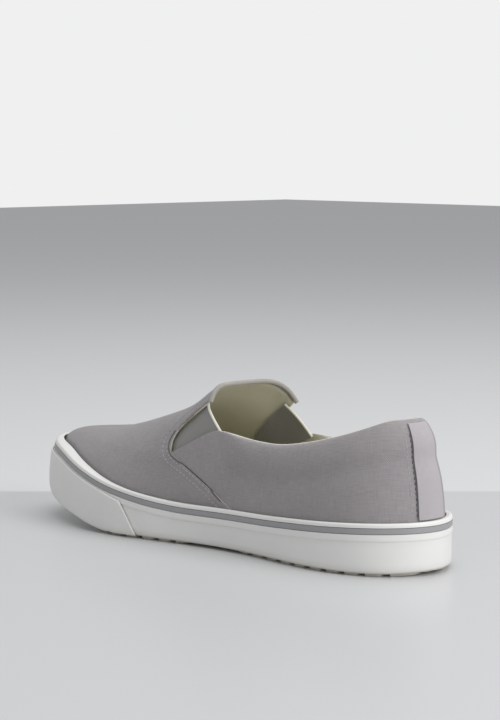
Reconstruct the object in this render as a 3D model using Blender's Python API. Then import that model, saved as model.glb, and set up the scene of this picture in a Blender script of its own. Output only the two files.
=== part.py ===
"""Canvas slip-on skate shoe, right foot, standing empty on a flat floor.

Metres, +Z up. The toe points along +Y and the outer (lateral) side is +X. The origin is on
the floor, under the middle of the shoe's length and width.

Every form comes from one last. Its outline is the rubber edge, a closed curve through the
stations of LAST. From each station a wall rises off the sole and closes over the foot at the
crown. A point on the last has a side, a station (0 at the heel, 1 at the toe), a height, and
a depth inside the outer surface. All pieces are patches, rings or rungs of such points.
"""
import math
from collections import namedtuple

import bmesh
import bpy
import numpy as np

# Main sizes
LENGTH = 0.290
BALL_WIDTH = 0.1043
HEEL_HEIGHT = 0.0786
INSTEP_HEIGHT = 0.0885
EDGE_HEIGHT = 0.0276
TOE_SPRING = 0.020

# Thicknesses and clearances
GAP = 0.0003
RUBBER_FIT = 0.0006
BOARD_FIT = 0.0009
FOXING = 0.0034
CANVAS = 0.0018
VAMP_STEP = 0.0009
SOLE_THICKNESS = 0.0185
INSOLE_THICKNESS = 0.004
ELASTIC = 0.0011
BACK_STAY = 0.0008
BUMPER = 0.0010

# Padded collar
PAD_HEIGHT = 0.019
PAD_BULGE = 0.0016
PAD_THICKNESS = 0.0048

# Rubber side wall, from its top edge down
LIP = 0.0022
STRIPE = 0.0028
BAND = 0.0034
STRIPE_DEPTH = 0.0008
BAND_STEP = 0.00035
EDGE_ROUND = 0.0012
TOE_LEAN = 0.0036

# Tread
LUG_PITCH = 0.0115
LUG_VALLEY = 0.0042
LUG_DRAFT = 0.0006
TREAD_DEPTH = 0.0022
TREAD_DROP = 0.0013
GROOVE = 0.0040
ARCH_RISE = 0.0012

# Trim
RIM_RADIUS = 0.0015
STAY_WIDTH = 0.021
GUSSET_MARGIN = 0.0040

# Roundness of the wall: how fast it leaves the vertical above the sole
FULLNESS = 0.9

# The last, a row for each station. along: share of LENGTH. medial, lateral: shares of
# BALL_WIDTH from the middle line. spine: where the wall from this station closes over the
# foot, a share of LENGTH.
Station = namedtuple("Station", "along medial lateral spine")
LAST = [
    Station(0.000, -0.007, 0.007, 0.135),
    Station(0.018, 0.155, 0.163, 0.135),
    Station(0.060, 0.278, 0.283, 0.138),
    Station(0.130, 0.354, 0.345, 0.160),
    Station(0.220, 0.374, 0.369, 0.225),
    Station(0.330, 0.351, 0.388, 0.330),
    Station(0.440, 0.352, 0.422, 0.440),
    Station(0.540, 0.398, 0.465, 0.535),
    Station(0.640, 0.457, 0.506, 0.620),
    Station(0.730, 0.482, 0.518, 0.690),
    Station(0.810, 0.455, 0.488, 0.750),
    Station(0.880, 0.392, 0.418, 0.800),
    Station(0.940, 0.310, 0.318, 0.838),
    Station(0.980, 0.204, 0.188, 0.866),
    Station(1.000, 0.035, -0.035, 0.878),
]

# The crown over the foot. height: share of INSTEP_HEIGHT. offset: share of BALL_WIDTH, to
# the lateral side. square: small is boxy, 1 is round. Behind the throat the crown is only
# the height that the open quarters lean towards.
Crown = namedtuple("Crown", "along height offset square")
CROWN = [
    Crown(0.135, 1.34, 0.000, 2.15),
    Crown(0.225, 1.26, 0.000, 1.20),
    Crown(0.330, 1.16, -0.015, 0.66),
    Crown(0.440, 1.01, -0.095, 0.43),
    Crown(0.480, 0.970, -0.115, 0.46),
    Crown(0.525, 0.902, -0.095, 0.82),
    Crown(0.580, 0.822, -0.065, 1.08),
    Crown(0.648, 0.749, -0.050, 1.20),
    Crown(0.705, 0.688, -0.047, 1.14),
    Crown(0.750, 0.644, -0.045, 1.00),
    Crown(0.790, 0.612, -0.045, 0.80),
    Crown(0.878, 0.570, -0.035, 0.52),
]

# The sole. edge: top of the rubber wall, share of EDGE_HEIGHT. lift: underside, share of
# TOE_SPRING. bed: thickness of the sole there, share of SOLE_THICKNESS.
Sole = namedtuple("Sole", "along edge lift bed")
SOLE = [
    Sole(0.00, 1.000, 0.03, 1.00),
    Sole(0.04, 0.995, 0.00, 1.00),
    Sole(0.20, 0.920, 0.00, 0.92),
    Sole(0.35, 0.840, 0.00, 0.80),
    Sole(0.50, 0.820, 0.00, 0.70),
    Sole(0.60, 0.895, 0.00, 0.66),
    Sole(0.68, 1.030, 0.00, 0.64),
    Sole(0.80, 1.350, 0.29, 0.58),
    Sole(0.90, 1.570, 0.54, 0.54),
    Sole(1.00, 1.645, 1.00, 0.50),
]

# The collar's height, shares of HEEL_HEIGHT.
Collar = namedtuple("Collar", "along medial lateral")
COLLAR = [
    Collar(0.00, 0.990, 0.990),
    Collar(0.03, 0.985, 0.980),
    Collar(0.08, 0.940, 0.920),
    Collar(0.15, 0.872, 0.847),
    Collar(0.23, 0.804, 0.774),
    Collar(0.31, 0.764, 0.728),
    Collar(0.38, 0.774, 0.718),
    Collar(0.45, 0.815, 0.718),
]

# The pad's section from the nip below it (0) to the collar's edge (1). out and inside are
# shares of PAD_BULGE and PAD_THICKNESS.
Pad = namedtuple("Pad", "rise out inside")
PAD = [
    Pad(0.00, -0.50, 0.00),
    Pad(0.14, 0.15, 0.40),
    Pad(0.42, 1.00, 0.90),
    Pad(0.72, 0.75, 1.00),
    Pad(0.92, -0.05, 0.85),
    Pad(1.00, -0.95, 0.55),
]

# The vamp's side edge from the sole up to the throat, past the gusset window. along: share
# of LENGTH. height: share of INSTEP_HEIGHT.
Edge = namedtuple("Edge", "name along height")
SEAM = {
    "medial": [Edge("hem", 0.405, 0.235), Edge("mid", 0.475, 0.385), Edge("tip", 0.563, 0.548)],
    "lateral": [Edge("hem", 0.400, 0.225), Edge("mid", 0.465, 0.350), Edge("tip", 0.555, 0.495)],
}
WINDOW = {
    "medial": [Edge("tip", 0.563, 0.548), Edge("front", 0.570, 0.650), Edge("mid", 0.540, 0.758),
               Edge("corner", 0.480, 0.880)],
    "lateral": [Edge("tip", 0.555, 0.495), Edge("front", 0.562, 0.590), Edge("mid", 0.515, 0.700),
                Edge("corner", 0.462, 0.822)],
}
SEAM_BOW = -0.010
QUARTER_CORNER = {"medial": 0.452, "lateral": 0.428}
THROAT = 0.477

# Where the other forms begin and end, shares of LENGTH
PAD_FADE = (0.065, 0.020)
HEEL_TREAD = (0.012, 0.400)
FRONT_TREAD = (0.510, 0.975)
ARCH = (0.36, 0.41, 0.49, 0.53)
BUMPER_START = 0.640
BUMPER_BLEND = 0.060
BUMPER_SLANT = 0.036
LEAN_START = 0.700

# How finely the surfaces are divided
QUARTER_COLUMNS = 20
COLLAR_COLUMNS = 15
WALL_RISES = (0.0, 0.35, 0.70, 1.0)
VAMP_COLUMNS = 20
WINDOW_ROWS = 4
RIM_ROWS = 6
FOXING_STATIONS = 80
INNER_RISES = (0.4, 0.75, 1.0)
INSOLE_RUNGS = 30


def smooth_rows(knots, values):
    """A curve through the rows of a table that never swings past them."""
    knots = np.array(knots, float)
    values = np.array(values, float)
    steps = np.diff(knots)
    slopes = np.diff(values) / steps
    leans = np.zeros(len(knots))
    for i in range(1, len(knots) - 1):
        if slopes[i - 1] * slopes[i] > 0:
            leans[i] = 2 * slopes[i - 1] * slopes[i] / (slopes[i - 1] + slopes[i])

    def at(x):
        x = min(max(x, knots[0]), knots[-1])
        i = min(int(np.searchsorted(knots, x, side="right")) - 1, len(knots) - 2)
        t = (x - knots[i]) / steps[i]
        ease = t * t * (3 - 2 * t)
        start_bend = t * (1 - t) ** 2 * leans[i]
        end_bend = t * t * (t - 1) * leans[i + 1]
        level = values[i] * (1 - ease) + values[i + 1] * ease
        return level + steps[i] * (start_bend + end_bend)

    return at


def column(table, x, y):
    """The smooth curve of one named column of a table over another."""
    return smooth_rows([getattr(row, x) for row in table], [getattr(row, y) for row in table])


class ClosedCurve:
    """A smooth closed curve through points in the plan, over a period of two."""

    PERIOD = 2.0

    def __init__(self, knots, points):
        self.knots = np.append(knots, knots[0] + self.PERIOD)
        self.points = np.vstack([points, points[:1]])
        count = len(self.knots)
        self.steps = np.diff(self.knots)
        rises = np.diff(self.points, axis=0) / self.steps[:, None]
        ties = np.zeros((count, count))
        loads = np.zeros((count, 2))
        for i in range(1, count - 1):
            ties[i, i - 1] = self.steps[i - 1]
            ties[i, i] = 2 * (self.steps[i - 1] + self.steps[i])
            ties[i, i + 1] = self.steps[i]
            loads[i] = 6 * (rises[i] - rises[i - 1])
        ties[0, 0] = 1
        ties[0, -1] = -1
        ties[-1, 0] = 2 * self.steps[0]
        ties[-1, 1] = self.steps[0]
        ties[-1, -2] = self.steps[-1]
        ties[-1, -1] = 2 * self.steps[-1]
        loads[-1] = 6 * (rises[0] - rises[-1])
        self.bends = np.linalg.solve(ties, loads)

    def at(self, turn):
        """The point and the direction of travel at this part of the way round."""
        turn = (turn - self.knots[0]) % self.PERIOD + self.knots[0]
        i = min(int(np.searchsorted(self.knots, turn, side="right")) - 1, len(self.steps) - 1)
        step = self.steps[i]
        b = (turn - self.knots[i]) / step
        a = 1 - b
        bend = self.bends[i] * (a ** 3 - a) + self.bends[i + 1] * (b ** 3 - b)
        point = a * self.points[i] + b * self.points[i + 1] + bend * step ** 2 / 6
        slope = self.bends[i] * (1 - 3 * a * a) + self.bends[i + 1] * (3 * b * b - 1)
        way = (self.points[i + 1] - self.points[i]) / step + slope * step / 6
        return point, way / np.linalg.norm(way)


def plan_row(row, side):
    """A station's point on the rubber edge, on one side."""
    across = -row.medial if side == "medial" else row.lateral
    return np.array([across * BALL_WIDTH, (row.along - 0.5) * LENGTH])


def station_knots():
    """Stations measured along the edge, the same on both sides."""
    ways = []
    for side in ("medial", "lateral"):
        points = np.array([plan_row(row, side) for row in LAST])
        ways.append(np.append(0, np.cumsum(np.linalg.norm(np.diff(points, axis=0), axis=1))))
    mean = (ways[0] + ways[1]) / 2
    return mean / mean[-1]


KNOTS = station_knots()
MEDIAL_POINTS = [plan_row(row, "medial") for row in LAST]
LATERAL_POINTS = [plan_row(row, "lateral") for row in LAST[1:-1]]
OUTLINE = ClosedCurve(
    np.append(KNOTS, 2 - KNOTS[-2:0:-1]), np.array(MEDIAL_POINTS + LATERAL_POINTS[::-1])
)
WIDTHS = [OUTLINE.at(turn)[0][0] for turn in np.linspace(0, 2, 721)]
MIDDLE = (max(WIDTHS) + min(WIDTHS)) / 2

spine_share = smooth_rows(KNOTS, [row.spine for row in LAST])
crown_height = column(CROWN, "along", "height")
crown_offset = column(CROWN, "along", "offset")
crown_square = column(CROWN, "along", "square")
edge_share = column(SOLE, "along", "edge")
lift_share = column(SOLE, "along", "lift")
bed_share = column(SOLE, "along", "bed")
pad_out = column(PAD, "rise", "out")
pad_inside = column(PAD, "rise", "inside")
collar_share = {side: column(COLLAR, "along", side) for side in ("medial", "lateral")}


def ramp(x, start, end):
    """Rises smoothly from 0 to 1 between two values."""
    t = min(max((x - start) / (end - start), 0.0), 1.0)
    return t * t * (3 - 2 * t)


def turn_of(side, station):
    """The place on the closed outline of a station on one side."""
    return station if side == "medial" else 2 - station


def edge_point(turn, inset=0.0):
    """A point of the plan outline, moved inwards by the inset."""
    point, way = OUTLINE.at(turn)
    inward = np.array([way[1], -way[0]])
    return point + inward * inset - np.array([MIDDLE, 0])


def share_along(turn):
    """How far along the shoe a point of the edge lies, 0 at the heel."""
    return min(max(edge_point(turn)[1] / LENGTH + 0.5, 0.0), 1.0)


def edge_top(turn):
    return edge_share(share_along(turn)) * EDGE_HEIGHT


def underside(turn):
    return lift_share(share_along(turn)) * TOE_SPRING


def footbed(turn):
    return underside(turn) + bed_share(share_along(turn)) * SOLE_THICKNESS


def wall_ends(turn, depth):
    """Foot and crown of the wall at a station, and how square it turns between them."""
    foot = edge_point(turn, FOXING + GAP + depth)
    station = 1 - abs(1 - turn % 2)
    share = spine_share(station)
    crown = np.array([crown_offset(share) * BALL_WIDTH - MIDDLE, (share - 0.5) * LENGTH])
    low = footbed(turn) + GAP
    high = crown_height(share) * INSTEP_HEIGHT - depth
    return foot, crown, low, high, crown_square(share)


def angle_at(turn, height, depth=0.0):
    """How far up its bend the wall has turned at a height."""
    foot, crown, low, high, square = wall_ends(turn, depth)
    rise = min(max((height - low) / (high - low), 0.0), 1.0)
    return math.asin(rise ** (1 / FULLNESS))


def last_point(turn, angle, depth=0.0):
    """A point on the last, or at a depth inside it."""
    foot, crown, low, high, square = wall_ends(turn, depth)
    inward = 1 - max(math.cos(angle), 0.0) ** square
    x, y = foot + (crown - foot) * inward
    return np.array([x, y, low + (high - low) * math.sin(angle) ** FULLNESS])


def wall_point(turn, height, depth=0.0):
    """The same, found by its height."""
    point = last_point(turn, angle_at(turn, height, depth), depth)
    point[2] = height
    return point


def station_at(side, along, height):
    """The station where the wall at this height is this far along the shoe."""
    low, high = 0.0, 1.0
    for _ in range(40):
        middle = (low + high) / 2
        if wall_point(turn_of(side, middle), height)[1] < (along - 0.5) * LENGTH:
            low = middle
        else:
            high = middle
    return (low + high) / 2


def station_on_edge(along):
    """The station where the rubber edge is this far along the shoe."""
    return float(np.interp(along, EDGE_SHARES, EDGE_STATIONS))


EDGE_STATIONS = np.linspace(0, 1, 401)
EDGE_SHARES = [(share_along(s) + share_along(2 - s)) / 2 for s in EDGE_STATIONS]


def collar_height(turn):
    return collar_share[side_of(turn)](share_along(turn)) * HEEL_HEIGHT


def side_of(turn):
    return "medial" if turn % 2 <= 1 else "lateral"


def pad_strength(turn):
    """The pad is full behind, and fades out before the quarter's corner."""
    corner = QUARTER_CORNER[side_of(turn)]
    return 1 - ramp(share_along(turn), corner - PAD_FADE[0], corner - PAD_FADE[1])


def skin_depth(turn, height):
    """Depth of the quarter's outer face: the pad stands out and nips in below."""
    rise = (height - collar_height(turn)) / PAD_HEIGHT + 1
    nip = pad_out(rise) * ramp(rise, -0.45, 0.0)
    return -PAD_BULGE * pad_strength(turn) * nip


def lining_depth(turn, height):
    """Depth of the quarter's inner face behind the pad."""
    rise = (height - collar_height(turn)) / PAD_HEIGHT + 1
    return CANVAS + PAD_THICKNESS * pad_strength(turn) * pad_inside(rise)


# Building solids

def clear_scene():
    for item in list(bpy.data.objects):
        bpy.data.objects.remove(item, do_unlink=True)


def material(name, colour, roughness):
    made = bpy.data.materials.new(name)
    made.use_nodes = True
    shader = made.node_tree.nodes["Principled BSDF"]
    shader.inputs["Base Color"].default_value = (*colour, 1)
    shader.inputs["Roughness"].default_value = roughness
    shader.inputs["Metallic"].default_value = 0.0
    return made


class Solid:
    """Collects points and faces, then makes one closed object of them."""

    def __init__(self):
        self.points = []
        self.faces = []

    def row(self, points):
        start = len(self.points)
        self.points.extend(tuple(float(c) for c in point) for point in points)
        return list(range(start, start + len(points)))

    def grid(self, rows):
        return [self.row(points) for points in rows]

    def face(self, corners):
        kept = [c for i, c in enumerate(corners) if c != corners[i - 1]]
        if len(kept) > 2:
            self.faces.append(kept)

    def bridge(self, first, second):
        """Quads between two rows of as many points."""
        for i in range(len(first) - 1):
            self.face([first[i], first[i + 1], second[i + 1], second[i]])

    def skin(self, grid):
        for first, second in zip(grid, grid[1:]):
            self.bridge(first, second)

    def finish(self, name, finish, smooth_angle=40):
        mesh = bpy.data.meshes.new(name)
        mesh.from_pydata(self.points, [], self.faces)
        work = bmesh.new()
        work.from_mesh(mesh)
        bmesh.ops.remove_doubles(work, verts=work.verts, dist=GAP / 20)
        bmesh.ops.dissolve_degenerate(work, edges=work.edges, dist=GAP / 50)
        bmesh.ops.recalc_face_normals(work, faces=work.faces)
        work.to_mesh(mesh)
        work.free()
        mesh.shade_smooth()
        mesh.set_sharp_from_angle(angle=math.radians(smooth_angle))
        mesh.materials.append(finish)
        made = bpy.data.objects.new(name, mesh)
        bpy.context.scene.collection.objects.link(made)
        return made


def slab(name, outer, inner, finish):
    """A patch with a thickness: two grids of points and the edges between them."""
    solid = Solid()
    front = solid.grid(outer)
    back = solid.grid(inner)
    solid.skin(front)
    solid.skin(back)
    for grid_edge in (0, -1):
        solid.bridge(front[grid_edge], back[grid_edge])
        solid.bridge([row[grid_edge] for row in front], [row[grid_edge] for row in back])
    return solid.finish(name, finish)


def ring(name, sections, finish):
    """A section carried all the way round."""
    solid = Solid()
    rows = solid.grid(sections)
    for i, row in enumerate(rows):
        last = rows[i - 1]
        solid.bridge(last + last[:1], row + row[:1])
    return solid.finish(name, finish)


def bar(name, sections, finish):
    """A section carried along a way with two ends."""
    solid = Solid()
    rows = solid.grid(sections)
    for first, second in zip(rows, rows[1:]):
        solid.bridge(first + first[:1], second + second[:1])
    solid.face(rows[0])
    solid.face(rows[-1])
    return solid.finish(name, finish)


# Upper

def seam_station(side, row):
    return station_at(side, row.along, row.height * INSTEP_HEIGHT)


def hem_station(side):
    """Where the vamp's edge goes in behind the rubber, at the sole."""
    hem, middle = SEAM[side][0], SEAM[side][1]
    run = (middle.along - hem.along) / ((middle.height - hem.height) * INSTEP_HEIGHT)
    turn = turn_of(side, station_on_edge(hem.along))
    buried = hem.height * INSTEP_HEIGHT - footbed(turn) - GAP
    return station_on_edge(hem.along - run * buried)


def line_through(side, rows, count):
    """Evenly spaced (station, height) pairs on a smooth line through named points."""
    heights = [row.height * INSTEP_HEIGHT for row in rows]
    stations = [seam_station(side, row) for row in rows]
    ways = np.linspace(0, 1, len(rows))
    height_at = smooth_rows(ways, heights)
    station_along = smooth_rows(ways, stations)
    return [(station_along(way), height_at(way)) for way in np.linspace(0, 1, count)]


def quarter_columns(side):
    """The quarter's columns as (foot station, top station, top height)."""
    corner = station_on_edge(QUARTER_CORNER[side])
    tip = SEAM[side][-1]
    tip_station = seam_station(side, tip)
    corner_height = collar_height(turn_of(side, corner))
    foot_end = hem_station(side)
    columns = []
    for i in range(QUARTER_COLUMNS + 1):
        foot = foot_end * i / QUARTER_COLUMNS
        if i <= COLLAR_COLUMNS:
            top = corner * i / COLLAR_COLUMNS
            height = collar_height(turn_of(side, top))
        else:
            way = (i - COLLAR_COLUMNS) / (QUARTER_COLUMNS - COLLAR_COLUMNS)
            top = corner + (tip_station - corner) * way
            height = corner_height + (tip.height * INSTEP_HEIGHT - corner_height) * way
        columns.append((foot, top, height))
    return columns


def quarter_places(side):
    """(turn, height) for each point of the quarter, column by column."""
    places = []
    for i, (foot, top, height) in enumerate(quarter_columns(side)):
        bow = SEAM_BOW * (i / QUARTER_COLUMNS) ** 2
        low = footbed(turn_of(side, foot)) + GAP
        rim = edge_top(turn_of(side, foot)) + GAP
        nip = height - PAD_HEIGHT
        column_places = [low]
        for rise in WALL_RISES:
            column_places.append(rim + (nip - rim) * rise)
        for row in PAD[1:]:
            column_places.append(nip + PAD_HEIGHT * row.rise)
        line = []
        for z in column_places:
            rise = (z - low) / (height - low)
            station = foot + (top - foot) * rise + bow * math.sin(math.pi * rise)
            line.append((turn_of(side, station), z))
        places.append(line)
    return places


def vamp_edge(side, seam_places):
    """(station, angle) down the vamp's free edge, from the sole to the middle of the throat."""
    edge = []
    for turn, z in seam_places:
        edge.append((1 - abs(1 - turn), angle_at(turn, z)))
    for station, z in line_through(side, WINDOW[side], WINDOW_ROWS + 1)[1:]:
        edge.append((station, angle_at(turn_of(side, station), z)))
    corner_station, corner_angle = edge[-1]
    throat = float(np.interp(THROAT, [spine_share(s) for s in EDGE_STATIONS], EDGE_STATIONS))
    for i in range(1, RIM_ROWS + 1):
        way = i / RIM_ROWS
        angle = corner_angle + (math.pi / 2 - corner_angle) * way
        edge.append((corner_station + (throat - corner_station) * way, angle))
    return edge


def rim_angle(turn):
    """The wall's angle where it comes out of the rubber."""
    return angle_at(turn, edge_top(turn) + GAP)


def vamp_places(side, edge):
    """(turn, angle, share of the way to the toe) for each point, column by column. The
    second row follows the rubber's top edge, and the rest are shared out above it."""
    shares = []
    for station, angle in edge[1:]:
        rim = rim_angle(turn_of(side, station))
        shares.append((angle - rim) / (math.pi / 2 - rim))
    places = []
    for i in range(VAMP_COLUMNS + 1):
        way = i / VAMP_COLUMNS
        line = [(turn_of(side, edge[0][0] + (1 - edge[0][0]) * way), 0.0, way)]
        for j, share in enumerate(shares):
            station = edge[j + 1][0]
            turn = turn_of(side, station + (1 - station) * way)
            above = max(share, 0.0) + (j / (len(shares) - 1) - max(share, 0.0)) * way
            rim = rim_angle(turn)
            line.append((turn, rim + (math.pi / 2 - rim) * above, way))
        places.append(line)
    return places


def vamp_raise(turn, angle, way):
    """The vamp lies on the quarter at its edge, and on the last further on."""
    above = last_point(turn, angle)[2] - edge_top(turn)
    return VAMP_STEP * (1 - ramp(way, 0.05, 0.3)) * ramp(above, 0.0, 3 * VAMP_STEP)


def side_layout(side):
    quarter = quarter_places(side)
    edge = vamp_edge(side, quarter[-1])
    return quarter, edge, vamp_places(side, edge)


def make_upper(finish):
    """One hollow shell: outer and inner faces, joined at the sole, the collar, the windows
    and the throat."""
    solid = Solid()
    for side in ("medial", "lateral"):
        quarter, edge, vamp = side_layout(side)
        faces = []
        for inner in (False, True):
            quarter_grid = []
            for line in quarter:
                points = []
                for turn, z in line:
                    depth = lining_depth(turn, z) if inner else skin_depth(turn, z)
                    points.append(wall_point(turn, z, depth))
                quarter_grid.append(solid.row(points))
            vamp_grid = []
            for line in vamp:
                points = []
                for turn, angle, way in line:
                    depth = (CANVAS if inner else 0.0) - vamp_raise(turn, angle, way)
                    points.append(last_point(turn, angle, depth))
                vamp_grid.append(solid.row(points))
            solid.skin(quarter_grid)
            solid.skin(vamp_grid)
            shared = len(quarter_grid[-1])
            solid.bridge(quarter_grid[-1], vamp_grid[0][:shared])
            opening = [line[-1] for line in quarter_grid] + vamp_grid[0][shared - 1:]
            hem = [line[0] for line in quarter_grid] + [line[0] for line in vamp_grid]
            faces.append((opening, hem))
        for outer_line, inner_line in zip(*faces):
            solid.bridge(outer_line, inner_line)
    return solid.finish("upper", finish, 50)


def make_gusset(side, finish):
    """Elastic behind the window, cut from the upper's own wall with a margin all round."""
    tip = SEAM[side][-1]
    corner = WINDOW[side][-1]
    back = QUARTER_CORNER[side]
    back_height = collar_height(turn_of(side, station_on_edge(back)))
    margin = GUSSET_MARGIN / LENGTH
    tip_height = tip.height * INSTEP_HEIGHT
    top_front = (corner.along + margin, corner.height * INSTEP_HEIGHT - GUSSET_MARGIN / 4)
    top_back = (back - margin / 2, back_height - GUSSET_MARGIN / 2)
    low_front = (tip.along + 2.2 * margin, tip_height + GUSSET_MARGIN)
    low_back = (tip.along - margin / 2, tip_height - GUSSET_MARGIN)
    rows, columns = 6, 5
    grids = []
    for depth in (CANVAS + GAP, CANVAS + GAP + ELASTIC):
        grid = []
        for i in range(rows + 1):
            line = []
            for j in range(columns + 1):
                down, across = i / rows, j / columns
                top = [a + (b - a) * across for a, b in zip(top_front, top_back)]
                low = [a + (b - a) * across for a, b in zip(low_front, low_back)]
                along, z = [a + (b - a) * down for a, b in zip(top, low)]
                line.append(wall_point(turn_of(side, station_at(side, along, z)), z, depth))
            grid.append(line)
        grids.append(grid)
    return slab("gusset_" + side, grids[0], grids[1], finish)


def make_rim(finish):
    """The rolled rim, a bead along the vamp's free edge over the throat."""
    edges = []
    for side in ("medial", "lateral"):
        quarter, edge, vamp = side_layout(side)
        half = []
        start = len(quarter[-1]) - 1 + WINDOW_ROWS
        for j in range(start, len(edge)):
            middle_depth = CANVAS / 2 - VAMP_STEP
            here = last_point(*vamp[0][j][:2], middle_depth)
            ahead = last_point(*vamp[1][j][:2], middle_depth)
            half.append((here, here - ahead))
        edges += half if side == "medial" else half[-2::-1]
    count = 8
    sections = []
    for i, (here, back) in enumerate(edges):
        before = edges[max(i - 1, 0)][0]
        after = edges[min(i + 1, len(edges) - 1)][0]
        way = (after - before) / np.linalg.norm(after - before)
        across = np.cross(way, back)
        across /= np.linalg.norm(across)
        out = np.cross(across, way)
        centre = here + out * (RIM_RADIUS + 1.5 * GAP)
        section = []
        for k in range(count):
            turn = 2 * math.pi * k / count
            offset = across * math.cos(turn) + out * math.sin(turn)
            section.append(centre + RIM_RADIUS * offset)
        sections.append(section)
    return bar("vamp_binding", sections, finish)


def make_heel_strip(finish):
    """The back stay, an overlay on the heel from the rubber to the collar."""
    columns, rows = 4, 12
    edge_length = np.linalg.norm(edge_point(0.01) - edge_point(0.0)) / 0.01
    half = STAY_WIDTH / 2 / edge_length
    grids = []
    for lift in (GAP + BACK_STAY, GAP):
        grid = []
        for i in range(columns + 1):
            turn = (2 * i / columns - 1) * half % 2
            low = edge_top(turn) + 2 * GAP
            high = collar_height(turn) - PAD_HEIGHT * (1 - PAD[-2].rise)
            line = []
            for j in range(rows + 1):
                z = low + (high - low) * j / rows
                line.append(wall_point(turn, z, skin_depth(turn, z) - lift))
            grid.append(line)
        grids.append(grid)
    return slab("heel_strip", grids[0], grids[1], finish)


# Sole

def toe_share(turn, start, end):
    return ramp(share_along(turn), start, end)


def foxing_inset(turn, height):
    """Depth of the rubber wall's plain outer face: it leans in round the toe, and makes
    room for the bumper."""
    low = underside(turn)
    rise = (height - low) / (edge_top(turn) - low)
    lean = TOE_LEAN * toe_share(turn, LEAN_START, 1.0) * max(rise, 0.0) ** 3
    room = (BUMPER + GAP) * toe_share(turn, BUMPER_START - BUMPER_BLEND, BUMPER_START)
    return lean + room


def foxing_face(turn, height, inset=0.0):
    x, y = edge_point(turn, foxing_inset(turn, height) + inset)
    return np.array([x, y, height])


def groove_heights(turn):
    top = edge_top(turn) - LIP
    return top, top - STRIPE - 2 * GAP


def foxing_section(turn):
    top = edge_top(turn)
    groove_top, groove_foot = groove_heights(turn)
    band_foot = groove_foot - BAND
    bottom = underside(turn) + TREAD_DROP + GAP
    seat = footbed(turn) + GAP
    groove = STRIPE_DEPTH + GAP
    outer = [
        (top, EDGE_ROUND),
        (top - EDGE_ROUND / 2, EDGE_ROUND / 4),
        (groove_top, 0.0),
        (groove_top - GAP / 3, groove),
        (groove_foot + GAP / 3, groove),
        (groove_foot, 0.0),
        (band_foot, 0.0),
        (band_foot - BAND_STEP, BAND_STEP),
        (bottom + EDGE_ROUND, BAND_STEP),
        (bottom, BAND_STEP + EDGE_ROUND),
    ]
    section = [foxing_face(turn, z, inset) for z, inset in outer]
    for z in (bottom, seat):
        x, y = edge_point(turn, FOXING)
        section.append(np.array([x, y, z]))
    for rise in INNER_RISES:
        section.append(wall_point(turn, seat + (top - GAP - seat) * rise, -RUBBER_FIT))
    return section


def rubber_turns():
    """Where the rubber strips have their sections, all round, with the bumper's ends."""
    start = station_on_edge(BUMPER_START)
    turns = [2 * i / FOXING_STATIONS for i in range(FOXING_STATIONS)]
    near = 0.3 / FOXING_STATIONS
    turns = [turn for turn in turns if min(abs(turn - start), abs(turn - 2 + start)) > near]
    return sorted(turns + [start, 2 - start])


def make_foxing(finish):
    return ring("foxing", [foxing_section(turn) for turn in rubber_turns()], finish)


def make_stripe(finish):
    sections = []
    for turn in rubber_turns():
        top, foot = groove_heights(turn)
        corners = ((top - GAP, 0.0), (top - GAP, STRIPE_DEPTH), (foot + GAP, STRIPE_DEPTH),
                   (foot + GAP, 0.0))
        sections.append([foxing_face(turn, z, inset) for z, inset in corners])
    return ring("foxing_stripe", sections, finish)


def make_bumper(finish):
    """The strip round the toe, over the rubber wall and under the stripe."""
    start = station_on_edge(BUMPER_START)
    sections = []
    for turn in [turn for turn in rubber_turns() if start <= turn <= 2 - start]:
        top = groove_heights(turn)[1] - 2 * GAP
        band_foot = groove_heights(turn)[1] - BAND
        foot = underside(turn) + TREAD_DROP + GAP
        low = foot + EDGE_ROUND
        middle = (band_foot + low) / 2
        outer = -GAP - BUMPER
        heights = (
            (top, -GAP), (top, outer + BUMPER / 3), (top - BUMPER / 2, outer),
            (middle, outer), (low, outer), (foot, outer + BUMPER / 2),
            (foot, -GAP + BAND_STEP), (middle, -GAP), (band_foot, -GAP),
        )
        end = 1 - ramp(min(turn, 2 - turn), start, start + BUMPER_BLEND)
        slant = BUMPER_SLANT * end if turn < 1 else -BUMPER_SLANT * end
        sections.append([
            foxing_face(turn + slant * ((z - foot) / (top - foot) - 0.5), z, inset)
            for z, inset in heights
        ])
    return bar("toe_bumper", sections, finish)


def lug_rungs():
    """(share along, is it on a lug) for each rung of the tread, from heel to toe."""
    rungs = []
    valley = LUG_VALLEY / LENGTH
    draft = LUG_DRAFT / LENGTH
    for start, end in (HEEL_TREAD, FRONT_TREAD):
        count = max(round((end - start) * LENGTH / LUG_PITCH), 1)
        pitch = (end - start) / count
        for i in range(count):
            low = start + i * pitch
            high = low + pitch - valley
            rungs += [(low - draft, False), (low, True), (high, True), (high + draft, False)]
    waist_start, waist_end = HEEL_TREAD[1], FRONT_TREAD[0]
    steps = max(round((waist_end - waist_start) * LENGTH / LUG_PITCH), 1)
    for i in range(1, steps):
        rungs.append((waist_start + (waist_end - waist_start) * i / steps, True))
    return sorted(rungs)


def tread_columns(width):
    """(share across, is it on a lug) with two grooves along the sole."""
    half = GROOVE / 2 / width
    draft = LUG_DRAFT / width
    columns = [(0.0, True)]
    for middle in (1 / 3, 2 / 3):
        columns += [(middle - half - draft, True), (middle - half, False),
                    (middle + half, False), (middle + half + draft, True)]
    return columns + [(1.0, True)]


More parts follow.
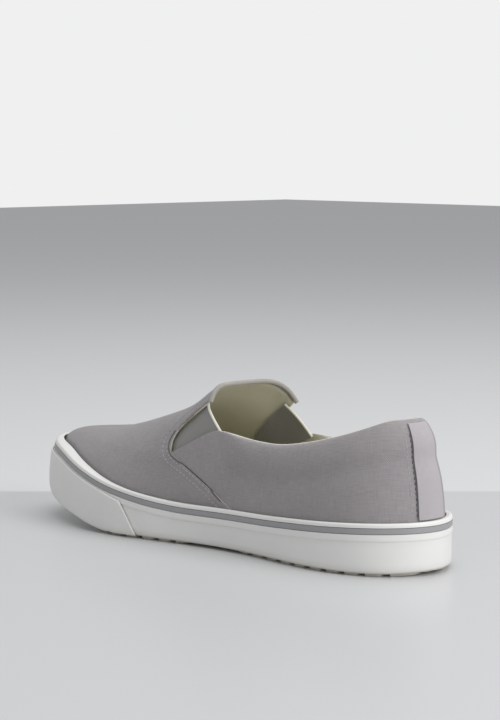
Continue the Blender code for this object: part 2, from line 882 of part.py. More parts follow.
def make_outsole(finish):
    """Footbed above, tread below, on rungs from the medial to the lateral edge."""
    solid = Solid()
    top_rows = []
    bottom_rows = []
    for along, on_lug in lug_rungs():
        station = station_on_edge(along)
        sides = [edge_point(turn_of(side, station), FOXING + GAP) for side in SEAM]
        lifts = [underside(turn_of(side, station)) for side in SEAM]
        beds = [footbed(turn_of(side, station)) for side in SEAM]
        width = np.linalg.norm(sides[1] - sides[0])
        in_arch = ramp(along, *ARCH[:2]) * (1 - ramp(along, *ARCH[2:]))
        line = []
        for across, on_rib in tread_columns(max(width, BALL_WIDTH / 3)):
            x, y = sides[0] + (sides[1] - sides[0]) * across
            lift = lifts[0] + (lifts[1] - lifts[0]) * across + ARCH_RISE * in_arch
            line.append((x, y, lift if on_lug and on_rib else lift + TREAD_DEPTH))
        bottom_rows.append(solid.row(line))
        top_rows.append(solid.row([(*side, bed) for side, bed in zip(sides, beds)]))
    solid.skin(bottom_rows)
    solid.skin(top_rows)
    for edge in (0, -1):
        solid.bridge([row[edge] for row in bottom_rows], [row[edge] for row in top_rows])
        solid.face(bottom_rows[edge] + top_rows[edge][::-1])
    return solid.finish("outsole", finish)


def inside_edge(turn, rise):
    """A plan point inside the canvas, as far up as this over the footbed."""
    depth = CANVAS + BOARD_FIT
    low = footbed(turn) + GAP
    rim = edge_top(turn) + GAP
    foot = last_point(turn, 0.0, depth)
    head = last_point(turn, rim_angle(turn), depth)
    return (foot + (head - foot) * rise / (rim - low))[:2]


def make_insole(finish):
    """The board inside the upper, on the footbed."""
    ends = station_on_edge(HEEL_TREAD[0]), station_on_edge(FRONT_TREAD[1])
    solid = Solid()
    levels = [[], []]
    for i in range(INSOLE_RUNGS + 1):
        station = ends[0] + (ends[1] - ends[0]) * i / INSOLE_RUNGS
        for level, rows in enumerate(levels):
            line = []
            for side in SEAM:
                turn = turn_of(side, station)
                x, y = inside_edge(turn, INSOLE_THICKNESS)
                line.append((x, y, footbed(turn) + GAP + level * INSOLE_THICKNESS))
            rows.append(solid.row(line))
    for rows in levels:
        solid.skin(rows)
    for edge in (0, -1):
        solid.bridge([row[edge] for row in levels[0]], [row[edge] for row in levels[1]])
        solid.face(levels[0][edge] + levels[1][edge][::-1])
    return solid.finish("insole", finish)


def main():
    clear_scene()
    canvas = material("grey canvas", (0.40, 0.37, 0.39), 0.95)
    twill = material("grey twill tape", (0.50, 0.47, 0.50), 0.9)
    elastic = material("grey elastic", (0.26, 0.25, 0.24), 0.9)
    binding = material("grey binding", (0.38, 0.37, 0.35), 0.9)
    white_rubber = material("white rubber", (0.78, 0.78, 0.76), 0.5)
    grey_rubber = material("grey rubber", (0.27, 0.27, 0.28), 0.5)
    board = material("cream insole", (0.62, 0.60, 0.52), 0.9)
    make_outsole(white_rubber)
    make_foxing(white_rubber)
    make_stripe(grey_rubber)
    make_bumper(white_rubber)
    make_upper(canvas)
    for side in SEAM:
        make_gusset(side, elastic)
    make_rim(binding)
    make_heel_strip(twill)
    make_insole(board)


main()
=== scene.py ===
# %% [markdown]
# # A canvas slip-on shoe, dressed step by step
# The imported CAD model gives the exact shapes: sole, rubber wall, canvas shell, elastic gussets.
# Here each of them becomes what it is on the real shoe: woven cotton, moulded rubber, sewn tape.
# Hard sizes stay as they are, soft edges get rounded, and thread, binding and weave are added.

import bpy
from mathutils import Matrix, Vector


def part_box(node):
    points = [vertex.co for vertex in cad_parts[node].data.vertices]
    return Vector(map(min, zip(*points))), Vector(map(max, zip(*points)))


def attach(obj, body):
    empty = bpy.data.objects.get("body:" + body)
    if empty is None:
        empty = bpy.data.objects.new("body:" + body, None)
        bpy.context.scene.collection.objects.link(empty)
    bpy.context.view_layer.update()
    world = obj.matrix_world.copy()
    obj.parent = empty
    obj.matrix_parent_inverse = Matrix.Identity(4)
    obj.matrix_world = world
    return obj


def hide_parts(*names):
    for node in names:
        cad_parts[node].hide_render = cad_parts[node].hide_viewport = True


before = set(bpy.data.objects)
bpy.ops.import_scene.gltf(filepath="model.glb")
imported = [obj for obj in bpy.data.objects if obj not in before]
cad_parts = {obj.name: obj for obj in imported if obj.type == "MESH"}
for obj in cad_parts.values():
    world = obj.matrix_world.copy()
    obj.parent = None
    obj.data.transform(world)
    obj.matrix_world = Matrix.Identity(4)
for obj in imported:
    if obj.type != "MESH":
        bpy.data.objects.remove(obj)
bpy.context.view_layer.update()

# %% Tools of the trade
import math

import bmesh
import bpy
import numpy as np
from mathutils import Vector
from mathutils.bvhtree import BVHTree

MM = 0.001
MEDIAL, LATERAL = -1, 1

# %% [markdown]
# ## The camera
# The photograph looks at the heel and the inner side, about 44 degrees round from straight
# behind and 6 degrees down. A long lens keeps the shoe from bulging. The numbers were fitted so
# that the sole's edges fall on the same pixels, which is why they are not round.

# %% Camera
VIEW_DOWN = math.radians(5.985)
VIEW_TURN = math.radians(-43.84)
bpy.ops.object.camera_add(
    location=(-0.8099, -0.8497, 0.2211),
    rotation=(math.radians(90) - VIEW_DOWN, 0, VIEW_TURN),
)
camera = bpy.context.object
camera.name = "photo_camera"
camera.data.sensor_fit = "VERTICAL"
camera.data.sensor_height = 36
camera.data.lens = 107.45
bpy.context.scene.camera = camera
print("camera is", round(camera.location.length, 2), "m from the shoe")

# %% [markdown]
# ## Table, room and lamps
# A product photograph is lit softly, so that cloth shows its weave and rubber its roundness.
# One wide lamp hangs overhead, a smaller one stands behind the heel, and the room itself gives
# the rest. The table is slightly glossy and ends behind the shoe, as it does in the picture.

# %% Table and studio floor
def plain_plane(name, size, place, turn, colour, roughness):
    bpy.ops.mesh.primitive_plane_add(size=1, location=place, rotation=(0, 0, turn))
    plane = bpy.context.object
    plane.name = name
    plane.scale = (size[0], size[1], 1)
    finish = bpy.data.materials.new(name)
    finish.use_nodes = True
    shader = finish.node_tree.nodes["Principled BSDF"]
    shader.inputs["Base Color"].default_value = (*colour, 1)
    shader.inputs["Roughness"].default_value = roughness
    plane.data.materials.append(finish)
    return plane


forward = Vector((-math.sin(VIEW_TURN), math.cos(VIEW_TURN), 0))
table_back, table_front = 0.150, 2.2
table_middle = forward * ((table_back - table_front) / 2)
plain_plane("table", (4.0, table_back + table_front), table_middle, VIEW_TURN,
            (0.60, 0.605, 0.61), 0.32)
plain_plane("studio_floor", (9.0, 9.0), Vector((0, 0, -0.004)), 0, (0.66, 0.665, 0.67), 0.8)
print("table reaches", table_back, "m behind the shoe")

# %% Room light and lamps
room = bpy.data.worlds.new("studio")
room.use_nodes = True
room_nodes = room.node_tree.nodes
room_light = room_nodes["Background"]
room_light.inputs["Color"].default_value = (0.97, 0.985, 1.0, 1)
room_light.inputs["Strength"].default_value = 0.50
seen_wall = room_nodes.new("ShaderNodeBackground")
seen_wall.inputs["Color"].default_value = (0.868, 0.871, 0.874, 1)
kind_of_ray = room_nodes.new("ShaderNodeLightPath")
either = room_nodes.new("ShaderNodeMixShader")
room.node_tree.links.new(kind_of_ray.outputs["Is Camera Ray"], either.inputs[0])
room.node_tree.links.new(room_light.outputs[0], either.inputs[1])
room.node_tree.links.new(seen_wall.outputs[0], either.inputs[2])
room.node_tree.links.new(either.outputs[0], room_nodes["World Output"].inputs["Surface"])
bpy.context.scene.world = room
bpy.context.scene.view_settings.view_transform = "Standard"


def soft_lamp(name, place, aim, size, watts, colour):
    bpy.ops.object.light_add(type="AREA", location=place)
    lamp = bpy.context.object
    lamp.name = name
    lamp.rotation_euler = (Vector(aim) - Vector(place)).to_track_quat("-Z", "Y").to_euler()
    lamp.data.shape = "RECTANGLE"
    lamp.data.size, lamp.data.size_y = size
    lamp.data.energy = watts
    lamp.data.color = colour
    return lamp


soft_lamp("overhead", (0.15, 0.0, 1.6), (0, 0, 0), (1.8, 1.8), 15, (1.0, 0.995, 0.985))
soft_lamp("heel_side", (0.15, -1.25, 0.62), (0, -0.05, 0.04), (0.7, 0.7), 9, (1.0, 0.99, 1.0))

# %% [markdown]
# ## A soft copy of a CAD piece
# The CAD pieces are made of flat facets. Cloth and moulded rubber are not, so a copy is taken,
# its triangles are merged and paired into four-sided faces, its true corners get a crease, and a
# subdivision surface rounds the rest. The CAD node itself is never touched: the copy replaces it.

# %% Helpers for soft copies
def only(piece):
    """Selects one piece and nothing else."""
    bpy.ops.object.select_all(action="DESELECT")
    piece.select_set(True)
    bpy.context.view_layer.objects.active = piece


def quad_copy(node, name):
    piece = bpy.data.objects.new(name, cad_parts[node].data.copy())
    bpy.context.scene.collection.objects.link(piece)
    piece.data.materials.clear()
    only(piece)
    bpy.ops.object.mode_set(mode="EDIT")
    bpy.ops.mesh.select_all(action="SELECT")
    bpy.ops.mesh.customdata_custom_splitnormals_clear()
    bpy.ops.mesh.remove_doubles(threshold=0.00002)
    bpy.ops.mesh.tris_convert_to_quads(
        face_threshold=math.radians(60), shape_threshold=math.radians(60))
    bpy.ops.object.mode_set(mode="OBJECT")
    return piece


def crease_corners(piece, corner_angle, amount):
    """Edges that turn by more than corner_angle keep that much of their sharpness."""
    mesh = bmesh.new()
    mesh.from_mesh(piece.data)
    crease = mesh.edges.layers.float.new("crease_edge")
    for edge in mesh.edges:
        if len(edge.link_faces) == 2 and edge.calc_face_angle(0) > math.radians(corner_angle):
            edge[crease] = amount
    mesh.to_mesh(piece.data)
    mesh.free()


def apply_modifier(piece, kind, **settings):
    only(piece)
    modifier = piece.modifiers.new(kind.title(), kind)
    for key, value in settings.items():
        setattr(modifier, key, value)
    bpy.ops.object.modifier_apply(modifier=modifier.name)


def rounded_copy(node, name, corner_angle=35, crease=0.8, levels=2):
    piece = quad_copy(node, name)
    crease_corners(piece, corner_angle, crease)
    apply_modifier(piece, "SUBSURF", levels=levels, render_levels=levels)
    only(piece)
    bpy.ops.object.shade_smooth_by_angle(angle=math.radians(50))
    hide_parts(node)
    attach(piece, "root")
    print(f"{name}: {len(piece.data.polygons)} faces")
    return piece


# %% [markdown]
# ## Patterns that follow the cloth
# A weave has to run along the cloth, so the pattern needs its own map. For everything that wraps
# round the shoe the map is simple: across is the way round the outline, up is the height. The
# vamp lies over the foot like a saddle, so there across is the angle about the foot's axis.

# %% Pattern map
HEEL_CENTRE, HEEL_TURN = -0.100, 0.040
TOE_CENTRE, TOE_TURN = 0.090, 0.048
VAMP_AXIS, VAMP_TURN = (-0.004, 0.016), 0.045


def way_round(x, y):
    """Distance round the outline from the middle of the heel, in metres."""
    heel = HEEL_TURN * np.arctan2(np.abs(x), np.maximum(HEEL_CENTRE - y, 1e-6))
    side = HEEL_TURN * math.pi / 2 + np.clip(y, HEEL_CENTRE, TOE_CENTRE) - HEEL_CENTRE
    toe = TOE_TURN * np.arctan2(np.maximum(y - TOE_CENTRE, 0), np.abs(x))
    return np.where(y < HEEL_CENTRE, heel, side + np.where(y > TOE_CENTRE, toe, 0))


def map_pattern(piece, over_the_foot=None):
    """Gives the piece its map. over_the_foot marks the faces that lie over the foot."""
    mesh = piece.data
    corner_vertex = np.zeros(len(mesh.loops), int)
    mesh.loops.foreach_get("vertex_index", corner_vertex)
    places = np.zeros(len(mesh.vertices) * 3)
    mesh.vertices.foreach_get("co", places)
    corners = places.reshape(-1, 3)[corner_vertex]
    sizes = np.zeros(len(mesh.polygons), int)
    mesh.polygons.foreach_get("loop_total", sizes)
    face_of_corner = np.repeat(np.arange(len(sizes)), sizes)
    middle_x = np.bincount(face_of_corner, corners[:, 0]) / sizes
    side = np.where(middle_x > 0, 1.0, -1.0)[face_of_corner]
    across = side * way_round(corners[:, 0], corners[:, 1])
    up = corners[:, 2].copy()
    if over_the_foot is not None:
        over = over_the_foot[face_of_corner]
        angle = np.arctan2(corners[:, 0] - VAMP_AXIS[0], corners[:, 2] - VAMP_AXIS[1])
        across = np.where(over, VAMP_TURN * angle, across)
        up = np.where(over, corners[:, 1] * 1.05, up)
    layer = mesh.uv_layers.new(name="cloth")
    layer.data.foreach_set("uv", np.column_stack([across, up]).ravel())


# %% [markdown]
# ## Finishes
# Every finish is made of small sums. A plain weave is two sine waves multiplied: crowns where a
# thread passes over, hollows where it dips. Noise makes the threads uneven, as spun cotton is.
# The same height drives the bump and a slight change of colour, so light and dark agree.

# %% Helpers for finishes
class Finish:
    """A Principled material and a short way to write its sums."""

    def __init__(self, name, roughness):
        self.material = bpy.data.materials.new(name)
        self.material.use_nodes = True
        self.tree = self.material.node_tree
        self.shader = self.tree.nodes["Principled BSDF"]
        self.shader.inputs["Roughness"].default_value = roughness

    def add(self, kind, **inputs):
        node = self.tree.nodes.new("ShaderNode" + kind)
        for key, value in inputs.items():
            self.put(node.inputs[key.replace("_", " ")], value)
        return node

    def put(self, socket, value):
        if isinstance(value, bpy.types.NodeSocket):
            self.tree.links.new(value, socket)
        else:
            socket.default_value = value

    def sum(self, operation, first, second=0.0, third=0.0):
        node = self.tree.nodes.new("ShaderNodeMath")
        node.operation = operation
        self.put(node.inputs[0], first)
        self.put(node.inputs[1], second)
        self.put(node.inputs[2], third)
        return node.outputs[0]

    def cloth_way(self):
        """The two directions of the pattern map, in metres."""
        node = self.tree.nodes.new("ShaderNodeUVMap")
        node.uv_map = "cloth"
        parts = self.add("SeparateXYZ", Vector=node.outputs[0])
        return node.outputs[0], parts.outputs[0], parts.outputs[1]

    def place(self):
        node = self.tree.nodes.new("ShaderNodeTexCoord")
        return node.outputs["Object"]

    def noise(self, vector, scale, detail=2.0):
        node = self.add("TexNoise", Vector=vector, Scale=scale, Detail=detail)
        return node.outputs[0]

    def stretched(self, vector, scale):
        node = self.add("Mapping", Vector=vector, Scale=scale)
        return node.outputs[0]

    def blend(self, share, dark, light):
        node = self.tree.nodes.new("ShaderNodeMix")
        node.data_type = "RGBA"
        self.put(node.inputs[0], share)
        self.put(node.inputs[6], (*dark, 1) if isinstance(dark, tuple) else dark)
        self.put(node.inputs[7], (*light, 1) if isinstance(light, tuple) else light)
        return node.outputs[2]

    def bump(self, height, depth, strength=1.0):
        node = self.add("Bump", Height=height, Distance=depth, Strength=strength)
        self.tree.links.new(node.outputs[0], self.shader.inputs["Normal"])

    def colour(self, value):
        self.put(self.shader.inputs["Base Color"], value)


CLOTH_ROUGHNESS = 0.9
THREAD_UNEVENNESS = 0.7


def woven(name, dark, light, thread, depth):
    """A plain weave. thread is the width of one thread, depth how far the crowns stand up."""
    finish = Finish(name, CLOTH_ROUGHNESS)
    cloth, across, up = finish.cloth_way()
    warp = finish.sum("SINE", finish.sum("MULTIPLY", across, math.pi / thread))
    weft = finish.sum("SINE", finish.sum("MULTIPLY", up, math.pi / thread))
    crossing = finish.sum("MULTIPLY", warp, weft)
    crowns = finish.sum("ABSOLUTE", crossing)
    slub_warp = finish.noise(finish.stretched(cloth, (1.4 / thread, 0.08 / thread, 1)), 1.0)
    slub_weft = finish.noise(finish.stretched(cloth, (0.08 / thread, 1.4 / thread, 1)), 1.0)
    slubs = finish.sum("ADD", slub_warp, slub_weft)
    height = finish.sum("ADD", crowns, finish.sum("MULTIPLY", slubs, 0.5))
    finish.bump(height, depth)
    over = finish.sum("MULTIPLY_ADD", crossing, 0.32, 0.5)
    uneven = finish.sum("MULTIPLY", finish.sum("SUBTRACT", slubs, 1.0), THREAD_UNEVENNESS)
    patches = finish.sum("SUBTRACT", finish.noise(finish.place(), 22.0, 3.0), 0.5)
    share = finish.sum("ADD", finish.sum("ADD", over, uneven),
                       finish.sum("MULTIPLY", patches, 0.5))
    finish.colour(finish.blend(share, dark, light))
    finish.shader.inputs["Sheen Weight"].default_value = 0.12
    finish.shader.inputs["Sheen Roughness"].default_value = 0.5
    finish.shader.inputs["Specular IOR Level"].default_value = 0.25
    return finish.material


# %% Cloth finishes
canvas = woven("grey_canvas", (0.275, 0.256, 0.262), (0.445, 0.420, 0.430), 0.62 * MM, 0.16 * MM)
twill_tape = woven("heel_tape", (0.395, 0.372, 0.388), (0.485, 0.458, 0.478),
                   0.40 * MM, 0.06 * MM)
lining = woven("cream_drill", (0.62, 0.60, 0.47), (0.76, 0.73, 0.59), 0.45 * MM, 0.06 * MM)
binding = woven("grey_binding", (0.33, 0.315, 0.285), (0.43, 0.41, 0.375), 0.45 * MM, 0.07 * MM)
cream_tape = woven("cream_tape", (0.70, 0.68, 0.58), (0.84, 0.82, 0.72), 0.5 * MM, 0.05 * MM)

# %% [markdown]
# ## Elastic, rubber and thread
# Elastic gore is knitted in ribs, a wave in one direction only. Moulded rubber is smooth but
# never perfect: pores and a slightly uneven gloss; near the ground a tan painted shade. The toe's
# wrap is rolled with a fine cross-hatch so that it grips the glue and shrugs off scuffs.

# %% Elastic finish
def ribbed(name, dark, light, rib):
    finish = Finish(name, 0.85)
    cloth, across, up = finish.cloth_way()
    slant = finish.sum("ADD", finish.sum("MULTIPLY", across, 0.80), finish.sum("MULTIPLY", up, 0.60))
    wave = finish.sum("SINE", finish.sum("MULTIPLY", slant, 2 * math.pi / rib))
    height = finish.sum("MULTIPLY_ADD", wave, 0.5, 0.5)
    fuzz = finish.noise(cloth, 1800.0)
    finish.bump(finish.sum("ADD", height, finish.sum("MULTIPLY", fuzz, 0.5)), 0.12 * MM)
    share = finish.sum("ADD", finish.sum("MULTIPLY", height, 0.5), finish.sum("MULTIPLY", fuzz, 0.5))
    finish.colour(finish.blend(share, dark, light))
    finish.shader.inputs["Sheen Weight"].default_value = 0.1
    return finish.material


elastic = ribbed("grey_elastic", (0.215, 0.212, 0.200), (0.345, 0.340, 0.325), 0.9 * MM)


# %% Rubber finishes
def rubber(name, colour, roughness, shade_at_floor=True, hatch=0.0):
    finish = Finish(name, roughness)
    place = finish.place()
    pores = finish.noise(place, 1400.0, 3.0)
    clouds = finish.noise(place, 35.0, 3.0)
    height = finish.sum("MULTIPLY", pores, 0.35)
    if hatch:
        cloth, across, up = finish.cloth_way()
        one = finish.sum("SINE", finish.sum("MULTIPLY", finish.sum("ADD", across, up), 4.44 / hatch))
        two = finish.sum("SINE", finish.sum("MULTIPLY", finish.sum("SUBTRACT", across, up),
                                            4.44 / hatch))
        height = finish.sum("ADD", height, finish.sum("MAXIMUM", one, two))
    finish.bump(height, 0.05 * MM if hatch else 0.03 * MM)
    soiled = tuple(0.90 * value for value in colour)
    shade = finish.blend(clouds, soiled, colour)
    # painted shade: over the last 5 mm towards the floor the colour darkens to tan, in cloudy
    # patches
    if shade_at_floor:
        rise = finish.add("SeparateXYZ", Vector=place).outputs[2]
        floor_shade_mask = finish.sum("SUBTRACT", 1.0, finish.sum("MULTIPLY", rise, 1 / (5 * MM)))
        floor_shade_mask = finish.sum("MULTIPLY", finish.sum("MAXIMUM", floor_shade_mask, 0.0), clouds)
        shade = finish.blend(floor_shade_mask, shade, (0.62, 0.56, 0.46))
    finish.colour(shade)
    finish.shader.inputs["Specular IOR Level"].default_value = 0.45
    return finish.material


white_rubber = rubber("white_rubber", (0.83, 0.83, 0.805), 0.42)
bumper_rubber = rubber("hatched_rubber", (0.82, 0.82, 0.795), 0.50, hatch=1.0 * MM)
grey_rubber = rubber("grey_rubber", (0.355, 0.350, 0.360), 0.45, shade_at_floor=False)
tread_rubber = rubber("tread_rubber", (0.74, 0.72, 0.66), 0.55)


# %% Thread finish
def twisted_thread(name, colour):
    finish = Finish(name, 0.7)
    place = finish.place()
    finish.bump(finish.noise(place, 5000.0, 2.0), 0.05 * MM)
    darker = tuple(0.8 * value for value in colour)
    finish.colour(finish.blend(finish.noise(place, 2500.0), darker, colour))
    finish.shader.inputs["Sheen Weight"].default_value = 0.2
    return finish.material


light_thread = twisted_thread("light_thread", (0.50, 0.475, 0.485))
# painted shade: near-black thread for the slot under the vamp's lip and the heel tape's needle holes
shade_thread = twisted_thread("shade_thread", (0.10, 0.095, 0.10))
cream_thread = twisted_thread("cream_thread", (0.66, 0.64, 0.52))

# %% [markdown]
# ## The rubber round the shoe
# The side wall, called foxing, is a strip of rubber glued round the canvas. It has a lip, a grey
# stripe in a groove and a slim raised band. The toe gets a second strip, the bumper. All are
# soft copies with their long edges creased, so they stay crisp along the shoe and round at the
# heel and the toe.

# %% Foxing, stripe and bumper
def dressed(piece, slot, *finishes):
    for finish in finishes:
        piece.data.materials.append(finish)
    return piece


dressed(rounded_copy("foxing", "rubber_foxing"), "white_rubber", white_rubber)
dressed(rounded_copy("foxing_stripe", "grey_stripe"), "grey_rubber", grey_rubber)
bumper = dressed(rounded_copy("toe_bumper", "toe_wrap"), "white_rubber", bumper_rubber)
map_pattern(bumper)

# %% [markdown]
# ## Sole and footbed
# The outsole is a hard moulding, so it keeps its facets and only gets small rounded edges from a
# bevel. The footbed is a board covered with cloth, rounded all over.

# %% Outsole and insole
def bevelled_copy(node, name, width, corner_angle=30):
    piece = quad_copy(node, name)
    apply_modifier(piece, "BEVEL", width=width, segments=2, limit_method="ANGLE",
                   angle_limit=math.radians(corner_angle))
    only(piece)
    bpy.ops.object.shade_smooth_by_angle(angle=math.radians(35))
    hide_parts(node)
    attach(piece, "root")
    print(f"{name}: {len(piece.data.polygons)} faces")
    return piece


dressed(bevelled_copy("outsole", "moulded_outsole", 0.25 * MM), "white_rubber", tread_rubber)
insole = dressed(rounded_copy("insole", "cloth_footbed", crease=0.5), "insole_cloth", lining)
map_pattern(insole)

# %% [markdown]
# ## The canvas upper
# One shell of canvas outside and cream cotton inside. The rounded copy keeps the step where the
# vamp is sewn over the quarters. A face belongs to the lining when it looks towards the foot, and
# the lining also turns over the collar's edge, which gives the thin cream line seen there.

# %% Canvas upper
upper = rounded_copy("upper", "canvas_upper", corner_angle=55, crease=0.6)


def face_numbers(piece):
    mesh = piece.data
    middles = np.zeros(len(mesh.polygons) * 3)
    mesh.polygons.foreach_get("center", middles)
    normals = np.zeros(len(mesh.polygons) * 3)
    mesh.polygons.foreach_get("normal", normals)
    return middles.reshape(-1, 3), normals.reshape(-1, 3)


# The vamp's edge seen from the side, from the rubber up past the window to the throat: y, z
VAMP_EDGE = {
    MEDIAL: [(-27.6, 20.8), (-18.5, 27.5), (-9.0, 34.1), (4.0, 41.5), (18.2, 48.5), (20.3, 57.5),
             (11.6, 67.1), (-5.8, 77.9)],
    LATERAL: [(-29.0, 19.9), (-20.5, 26.0), (-11.5, 31.0), (2.0, 37.8), (16.0, 43.8),
              (18.0, 52.2), (4.4, 62.0), (-11.0, 72.8)],
}

middles, normals = face_numbers(upper)
vamp_front = np.zeros(len(middles), bool)
for side, edge in VAMP_EDGE.items():
    here = np.sign(middles[:, 0]) == side
    heights = [z * MM for y, z in edge]
    limit = np.interp(middles[:, 2], heights, [y * MM for y, z in edge])
    vamp_front |= here & (middles[:, 1] > limit)
axis = np.column_stack([np.zeros(len(middles)), np.clip(middles[:, 1], -0.098, 0.092),
                        np.full(len(middles), 0.035)])
outward = middles - axis
outward /= np.linalg.norm(outward, axis=1)[:, None]
facing = np.sum(outward * normals, axis=1)
lined = facing < np.where(vamp_front, -0.1, 0.0)
dressed(upper, "canvas", canvas, lining)
upper.data.polygons.foreach_set("material_index", lined.astype(int))
map_pattern(upper, vamp_front)
upper.data.update()
print("lining covers", round(100 * float(np.mean(lined))), "% of the faces")

# %% [markdown]
# ## Gussets, rim and heel tape
# Elastic panels close the two windows so that the foot can slip in. A rolled binding finishes the
# vamp's free edge, and a smooth tape covers the seam at the heel.

# %% Gussets, rim and heel tape
gussets = {
    MEDIAL: dressed(rounded_copy("gusset_medial", "elastic_gusset_medial", crease=0.7), "elastic",
                    elastic),
    LATERAL: dressed(rounded_copy("gusset_lateral", "elastic_gusset_lateral", crease=0.7), "elastic",
                     elastic),
}
for gusset in gussets.values():
    map_pattern(gusset)
rim = dressed(rounded_copy("vamp_binding", "rolled_rim", corner_angle=70), "binding", binding)
map_pattern(rim)
heel_tape = dressed(rounded_copy("heel_strip", "heel_tape", crease=0.6), "twill_tape", twill_tape)
map_pattern(heel_tape)

# %% [markdown]
# ## Cords along an edge
# Piping, folded edges and a dark cord of painted shade in the slot under a lapped seam are all
# thin cords that follow a line. A path is drawn point by point on the cloth, given a round section
# and turned to a mesh.

# %% Cord along a path
def smooth_path(points, count):
    """Points at even distances along a soft curve through the given ones."""
    points = np.array(points, float)
    fine = []
    for i in range(len(points) - 1):
        before = points[max(i - 1, 0)]
        after = points[min(i + 2, len(points) - 1)]
        start, end = points[i], points[i + 1]
        for t in np.linspace(0, 1, 12, endpoint=False):
            lean_in, lean_out = (end - before) / 2, (after - start) / 2
            fine.append((2 * t**3 - 3 * t**2 + 1) * start + (t**3 - 2 * t**2 + t) * lean_in
                        + (3 * t**2 - 2 * t**3) * end + (t**3 - t**2) * lean_out)
    fine.append(points[-1])
    fine = np.array(fine)
    along = np.r_[0, np.cumsum(np.linalg.norm(np.diff(fine, axis=0), axis=1))]
    even = np.linspace(0, along[-1], count)
    return np.column_stack([np.interp(even, along, fine[:, k]) for k in range(fine.shape[1])])


def cord_along(name, points, radius, finish, slot, sides=3):
    bpy.ops.object.select_all(action="DESELECT")
    bpy.ops.curve.primitive_nurbs_path_add()
    line = bpy.context.object
    line.name = name
    line.data.splines.clear()
    spline = line.data.splines.new("POLY")
    spline.points.add(len(points) - 1)
    for i, point in enumerate(points):
        spline.points[i].co = (*point, 1)
    line.data.bevel_depth = radius
    line.data.bevel_resolution = sides
    line.data.use_fill_caps = True
    line.data.resolution_u = 1
    bpy.ops.object.convert(target="MESH")
    piece = bpy.context.object
    bpy.ops.object.shade_smooth()
    map_pattern(piece)
    dressed(piece, slot, finish)
    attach(piece, "root")
    return piece


# %% Finding the cloth
upper_tree = BVHTree.FromObject(upper, bpy.context.evaluated_depsgraph_get())


def on_side(side, y, z, tree=upper_tree):
    """The outermost point of the cloth at that place, with its normal."""
    hit, normal, face, distance = tree.ray_cast(Vector((side * 0.2, y, z)), Vector((-side, 0, 0)))
    return hit, normal


def on_heel(x, z, tree=upper_tree):
    hit, normal, face, distance = tree.ray_cast(Vector((x, -0.3, z)), Vector((0, 1, 0)))
    return hit, normal


# %% [markdown]
# ## Stitches
# A stitch is a short bead of thread that dips into the cloth at both ends. One is modelled from a
# ball, pressed long and thin, and copied along the seam. Every copy gets its own place, direction
# and lift, and one row becomes one mesh.

# %% One stitch
bpy.ops.object.select_all(action="DESELECT")
bpy.ops.mesh.primitive_uv_sphere_add(segments=6, ring_count=6, radius=1, rotation=(0, 0, 0))
pattern_stitch = bpy.context.object
bpy.ops.object.mode_set(mode="EDIT")
bpy.ops.mesh.select_all(action="SELECT")
bpy.ops.transform.resize(value=(0.86, 0.86, 1.0))
bpy.ops.object.mode_set(mode="OBJECT")
stitch_points = np.array([vertex.co[:] for vertex in pattern_stitch.data.vertices])
stitch_faces = [list(face.vertices) for face in pattern_stitch.data.polygons]
bpy.data.objects.remove(pattern_stitch)
print("one stitch has", len(stitch_faces), "faces")


# %% Rows of stitches
def sew(name, places, length, gap, thickness, finish, slot):
    """A row of stitches. places: (point, normal) pairs along the seam."""
    points = np.array([place[0] for place in places])
    lifts = np.array([place[1] for place in places])
    along = np.r_[0, np.cumsum(np.linalg.norm(np.diff(points, axis=0), axis=1))]
    count = max(1, int(along[-1] / (length + gap)))
    vertices, faces = [], []
    for i in range(count):
        middle = (i + 0.5) * (length + gap)
        ends = [np.array([np.interp(middle + d, along, points[:, k]) for k in range(3)])
                for d in (-length / 2, length / 2)]
        lift = np.array([np.interp(middle, along, lifts[:, k]) for k in range(3)])
        lift /= np.linalg.norm(lift)
        way = ends[1] - ends[0]
        if np.linalg.norm(way) < length * 0.3:
            continue
        way /= np.linalg.norm(way)
        side = np.cross(lift, way)
        side /= np.linalg.norm(side)
        centre = (ends[0] + ends[1]) / 2 + lift * thickness * 0.15
        start = len(vertices)
        for x, y, z in stitch_points:
            vertices.append(centre + way * z * length / 2 + side * x * thickness / 2
                            + lift * y * thickness / 2)
        faces += [[start + k for k in face] for face in stitch_faces]
    mesh = bpy.data.meshes.new(name)
    mesh.from_pydata([tuple(v) for v in vertices], [], faces)
    row = bpy.data.objects.new(name, mesh)
    bpy.context.scene.collection.objects.link(row)
    only(row)
    bpy.ops.object.mode_set(mode="EDIT")
    bpy.ops.mesh.select_all(action="SELECT")
    bpy.ops.mesh.normals_make_consistent(inside=False)
    bpy.ops.object.mode_set(mode="OBJECT")
    bpy.ops.object.shade_smooth()
    dressed(row, slot, finish)
    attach(row, "root")
    print(f"{name}: {count} stitches")
    return row


def shifted(line, distance):
    """The same line in the side view, moved sideways by a distance (towards the toe is +)."""
    line = np.array(line, float)
    way = np.gradient(line, axis=0)
    way /= np.linalg.norm(way, axis=1)[:, None]
    return line + distance * np.column_stack([way[:, 1], -way[:, 0]])


def side_places(side, line):
    places = []
    for y, z in line:
        hit, normal = on_side(side, y, z)
        if hit is not None:
            places.append((np.array(hit), np.array(normal)))
    return places


# %% [markdown]
# ## The vamp's hem
# The vamp is folded and sewn over the quarter with two rows. Under its lip lies a narrow slot in
# shade, painted as a dark cord. The rows follow the edge at 1.3 and 4.3 mm, up past the window to
# the throat.

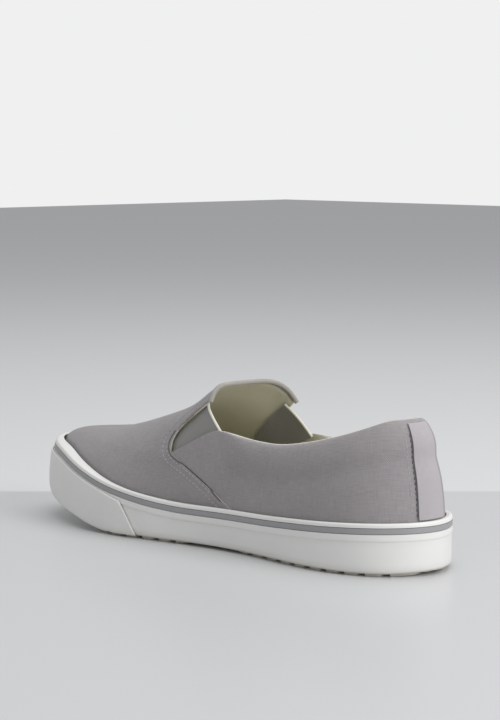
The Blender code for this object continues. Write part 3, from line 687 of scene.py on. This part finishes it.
# %% Vamp hem
for side, word in ((MEDIAL, "medial"), (LATERAL, "lateral")):
    edge = smooth_path(np.array(VAMP_EDGE[side]) * MM, 90)
    # painted shade: a near-black cord laid where the slot under the vamp's lip is in shade
    shade_cord_line = side_places(side, shifted(edge[8:62], -0.1 * MM))
    cord_along(f"hem_shade_cord_{word}", [point for point, lift in shade_cord_line], 0.35 * MM, shade_thread,
               "canvas", 1)
    for number, distance in ((1, 1.3), (2, 4.3)):
        places = side_places(side, shifted(edge, distance * MM)[8:])
        sew(f"vamp_hem_{word}_{number}", places, 1.9 * MM, 0.8 * MM, 0.62 * MM, light_thread,
            "canvas")

# %% [markdown]
# ## The heel tape's rows
# Two rows hold each edge of the heel tape: one on the tape's very edge, in near-black thread as
# painted shade for the needle holes, and one on the canvas beside it.

# %% Heel tape rows
tape_low, tape_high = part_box("heel_strip")
heel_heights = np.linspace(tape_low.z + 0.001, tape_high.z - 0.003, 40)
tape_tree = BVHTree.FromObject(heel_tape, bpy.context.evaluated_depsgraph_get())


def tape_edges(z):
    """The leftmost and rightmost x where the tape is found at a height."""
    found = [x for x in np.arange(-0.016, 0.0161, 0.0002) if on_heel(x, z, tape_tree)[0] is not None]
    return (min(found), max(found)) if found else None


rows = {"inner": [], "outer": []}
for z in heel_heights:
    edges = tape_edges(z)
    if edges:
        rows["inner"].append((edges[0], z))
        rows["outer"].append((edges[1], z))
for word, way in (("inner", -1), ("outer", 1)):
    # row 1 is near-black: painted shade of the needle holes along the tape's edge
    for number, distance, finish in ((1, 0.25, shade_thread), (2, 2.6, light_thread)):
        places = []
        for x, z in rows[word]:
            hit, normal = on_heel(x + way * distance * MM, z)
            if hit is not None:
                places.append((np.array(hit), np.array(normal)))
        if len(places) > 3:
            sew(f"heel_row_{word}_{number}", places, 1.7 * MM, 1.0 * MM, 0.55 * MM, finish,
                "twill_tape")

# %% [markdown]
# ## Piping on the gussets
# The free edge of each gusset, the one that crosses the throat, is bound with cream tape. The edge
# is found on the CAD panel: its vertices near the line between its top corner and its back corner.

# %% Gusset piping
for side, node in ((MEDIAL, "gusset_medial"), (LATERAL, "gusset_lateral")):
    panel = np.array([vertex.co[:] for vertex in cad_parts[node].data.vertices])
    top = panel[np.argmax(panel[:, 2])]
    back = panel[np.argmin(panel[:, 1])]
    way = back - top
    share = (panel - top) @ way / (way @ way)
    away = np.linalg.norm(panel - top - share[:, None] * way, axis=1)
    near = away < 2.2 * MM
    path = []
    for step in np.linspace(0.0, 1.0, 6):
        chosen = near & (np.abs(share - step) < 0.13)
        if chosen.any():
            path.append(panel[chosen].mean(axis=0))
    print(node, "free edge has", len(path), "places, from", np.round(top / MM, 1), "to",
          np.round(back / MM, 1))
    if len(path) > 2:
        cord_along(f"{node}_piping", smooth_path(path, 24), 0.75 * MM, cream_tape, "insole_cloth")

# %% [markdown]
# ## The collar's cream edge
# Where canvas and lining meet on top of the collar a thin cream edge shows. Its path is the
# highest line of the quarters, found by looking at the shell's vertices round the ankle.

# %% Collar edge
CORNER_Y = {MEDIAL: -0.0155, LATERAL: -0.0225}
vertices = np.zeros(len(upper.data.vertices) * 3)
upper.data.vertices.foreach_get("co", vertices)
vertices = vertices.reshape(-1, 3)
ankle = vertices[(vertices[:, 1] < -0.014)]
round_ankle = np.sign(ankle[:, 0]) * way_round(ankle[:, 0], ankle[:, 1])
crest = []
ANKLE_HALF = 0.03
limits = [-way_round(np.array(-ANKLE_HALF), np.array(CORNER_Y[MEDIAL])),
          way_round(np.array(ANKLE_HALF), np.array(CORNER_Y[LATERAL]))]
for way in np.arange(limits[0] + 0.001, limits[1] - 0.001, 0.003):
    near = ankle[np.abs(round_ankle - way) < 0.003]
    near = near[near[:, 2] > 0.045]
    if len(near):
        high = near[near[:, 2] > near[:, 2].max() - 0.0007]
        crest.append(high.mean(axis=0))
crest = np.array(crest)
soft = crest.copy()
for turn in range(3):
    soft[1:-1] = (soft[:-2] + 2 * soft[1:-1] + soft[2:]) / 4
cord_along("collar_edge", smooth_path(soft - np.array([0, 0, 0.0003]), 160), 0.6 * MM, cream_tape,
           "insole_cloth", 2)
print("collar edge has", len(crest), "measured places")

# %% [markdown]
# ## Finish
# The view layer is brought up to date once more.

# %% Finish
bpy.context.view_layer.update()
